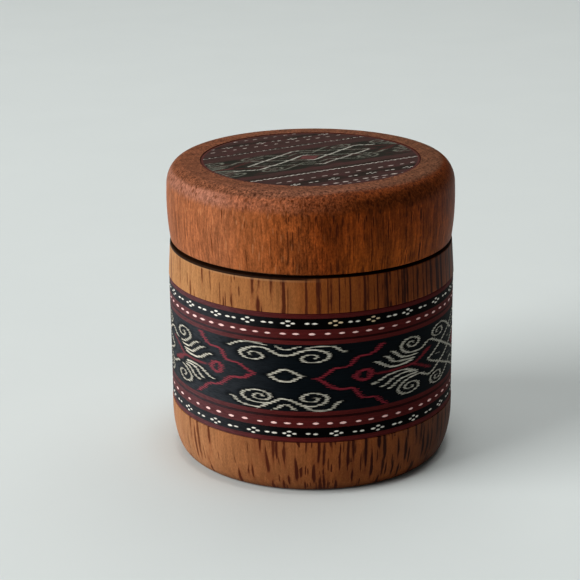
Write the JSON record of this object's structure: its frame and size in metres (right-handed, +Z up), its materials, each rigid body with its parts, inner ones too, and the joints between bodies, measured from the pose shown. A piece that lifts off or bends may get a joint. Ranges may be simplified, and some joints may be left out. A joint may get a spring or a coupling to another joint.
{
  "type": "wooden trinket box",
  "caption": "Round turned wooden trinket box: hollow body with a woven cloth band, and a lift-off lid with a cloth disc that seats on a neck ring.",
  "frame": {"origin": "middle of the base, on the surface that the box stands on", "axes": "+Z up along the turning axis; -Y is the front that the picture shows, and the band's seam is at the back, +Y"},
  "size_m": [0.08, 0.08, 0.0834],
  "materials": {
    "body_wood": "satin varnish, golden brown with dark streaks along the grain",
    "neck_wood": "plain sanded, waxed",
    "band_cloth": "woven ikat cloth, near-black field with dark red stripes and cream motifs",
    "lid_wood": "satin varnish, red-brown with fine pores",
    "disc_cloth": "woven ikat cloth, dark red and near-black stripes with pale motifs"
  },
  "bodies": {
    "box": {"body_cup": "body_wood", "neck_ring": "neck_wood", "body_band": "band_cloth"},
    "lid": {"lid_cap": "lid_wood", "lid_disc": "disc_cloth"}
  },
  "joints": [
    {"name": "lid_lift", "type": "slide", "parent": "box", "child": "lid", "axis": [0, 0, 1], "range_m": [0, 0.05]}
  ]
}
